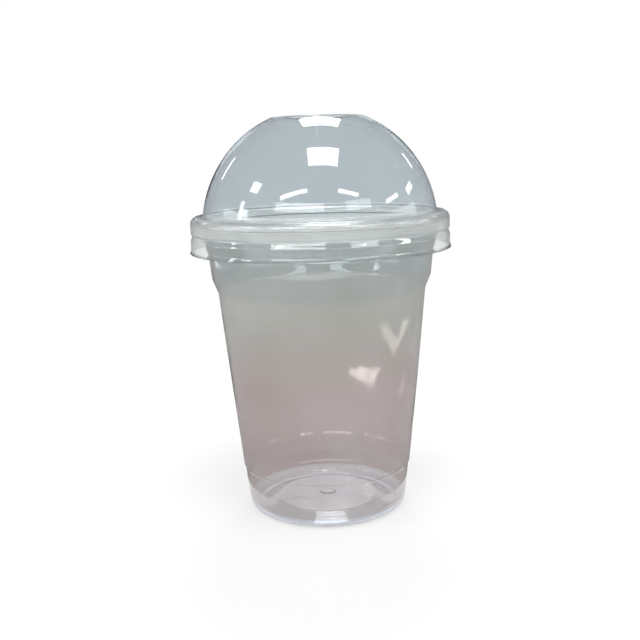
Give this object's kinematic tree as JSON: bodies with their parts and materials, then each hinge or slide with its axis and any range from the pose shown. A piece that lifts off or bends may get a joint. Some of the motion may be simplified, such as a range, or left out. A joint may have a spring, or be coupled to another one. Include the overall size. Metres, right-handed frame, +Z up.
{
  "type": "plastic cup with domed lid",
  "caption": "Clear tapered cold-drink cup with a rolled rim and a clear domed lid that lifts off, with a round straw hole in its flat crown.",
  "frame": {"origin": "centre of the foot ring, on the surface the cup stands on", "axes": "+Z up along the axis of the cup and lid; X and Y are alike"},
  "size_m": [0.102, 0.102, 0.1552],
  "materials": {
    "cup_plastic": "clear gloss",
    "lid_plastic": "clear gloss"
  },
  "bodies": {
    "cup": {"cup": "cup_plastic"},
    "lid": {"dome_lid": "lid_plastic"}
  },
  "joints": [
    {"name": "lid_lift", "type": "slide", "parent": "cup", "child": "lid", "axis": [0, 0, 1], "range_m": [0, 0.05]}
  ]
}
